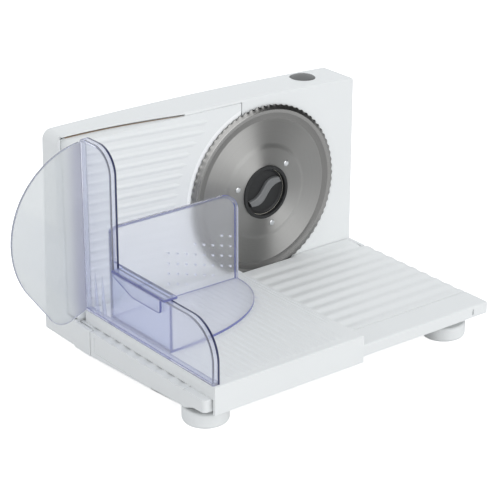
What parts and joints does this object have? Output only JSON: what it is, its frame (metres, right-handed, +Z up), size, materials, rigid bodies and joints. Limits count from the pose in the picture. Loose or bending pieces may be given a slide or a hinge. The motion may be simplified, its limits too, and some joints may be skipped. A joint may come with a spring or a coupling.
{
  "type": "electric food slicer",
  "caption": "Electric food slicer with a wavy round blade, cam-set guide plate, sliding food carriage, clear hand guard and pusher, and a ribbed tray in front of an arched housing.",
  "frame": {"origin": "centre of the footprint at worktop level, under the feet", "axes": "+X along the machine from the guard to the motor end, +Y from the user's side to the housing's back, +Z up"},
  "size_m": [0.3914, 0.2606, 0.208],
  "materials": {
    "white_abs": "semi-gloss",
    "clear_styrene": "clear plastic with blue edges",
    "blade_steel": "turned",
    "dark_grey_plastic": "satin",
    "button_grey": "satin",
    "zinc_steel": "zinc plated",
    "natural_acetal": "natural",
    "pale_rubber": "matte"
  },
  "bodies": {
    "machine": {"front_housing": "white_abs", "rear_cover": "white_abs", "base_tray": "white_abs", "switch_body": "dark_grey_plastic", "cord_gland": "dark_grey_plastic", "hinge_pin_left": "zinc_steel", "hinge_pin_right": "zinc_steel", "guide_rod_lower": "zinc_steel", "guide_rod_upper": "zinc_steel", "blade_axle": "zinc_steel", "idler_axle": "zinc_steel", "gear_plate": "zinc_steel", "motor_can": "zinc_steel", "plate_screw_1": "zinc_steel", "plate_screw_2": "zinc_steel", "plate_screw_3": "zinc_steel", "plate_screw_4": "zinc_steel", "cover_screw_1": "zinc_steel", "cover_screw_2": "zinc_steel", "cover_screw_3": "zinc_steel", "cover_screw_4": "zinc_steel", "cover_screw_5": "zinc_steel", "cover_screw_6": "zinc_steel", "foot_front_left": "pale_rubber", "foot_front_right": "pale_rubber", "foot_rear_left": "pale_rubber", "foot_rear_right": "pale_rubber"},
    "carriage": {"carriage_table": "white_abs", "side_guard": "clear_styrene"},
    "pusher": {"food_pusher": "clear_styrene"},
    "guide": {"guide_plate": "white_abs"},
    "dial": {"thickness_cam": "natural_acetal", "thickness_knob": "dark_grey_plastic"},
    "cutter": {"blade": "blade_steel", "hub_ring": "dark_grey_plastic", "blade_gear": "natural_acetal", "blade_rivet_1": "zinc_steel", "blade_rivet_2": "zinc_steel", "blade_rivet_3": "zinc_steel"},
    "lock": {"blade_lock_knob": "dark_grey_plastic"},
    "idler": {"idler_gear": "natural_acetal"},
    "armature": {"motor_shaft": "blade_steel"},
    "button": {"push_button": "button_grey"}
  },
  "joints": [
    {"name": "carriage_slide", "type": "slide", "parent": "machine", "child": "carriage", "axis": [1, 0, 0], "range_m": [0, 0.135]},
    {"name": "pusher_slide", "type": "slide", "parent": "carriage", "child": "pusher", "axis": [0, -1, 0], "range_m": [0, 0.06]},
    {"name": "thickness_turn", "type": "hinge", "parent": "machine", "child": "dial", "pos_m": [-0.06625, 0.11174, 0.118], "axis": [0, 1, 0], "range_deg": [0, 270]},
    {"name": "guide_slide", "type": "slide", "parent": "machine", "child": "guide", "axis": [0, 1, 0], "range_m": [0, 0.015]},
    {"name": "blade_spin", "type": "hinge", "parent": "machine", "child": "cutter", "pos_m": [0.08375, 0.06674, 0.1085], "axis": [0, 1, 0], "continuous": true},
    {"name": "lock_turn", "type": "hinge", "parent": "cutter", "child": "lock", "pos_m": [0.08375, 0.06674, 0.1085], "axis": [0, 1, 0], "range_deg": [0, 60]},
    {"name": "idler_spin", "type": "hinge", "parent": "machine", "child": "idler", "pos_m": [0.12604, 0.07674, 0.09311], "axis": [0, 1, 0], "continuous": true},
    {"name": "motor_spin", "type": "hinge", "parent": "machine", "child": "armature", "pos_m": [0.15705, 0.09674, 0.08182], "axis": [0, 1, 0], "continuous": true},
    {"name": "button_press", "type": "slide", "parent": "machine", "child": "button", "axis": [0, 0, -1], "range_m": [0, 0.004], "stiffness_N_per_m": 400}
  ],
  "couplings": [
    {"joint": "thickness_turn", "follows": "guide_slide", "rad_per_m": 314.16},
    {"joint": "idler_spin", "follows": "blade_spin", "ratio": -4},
    {"joint": "motor_spin", "follows": "blade_spin", "ratio": 10.667}
  ]
}
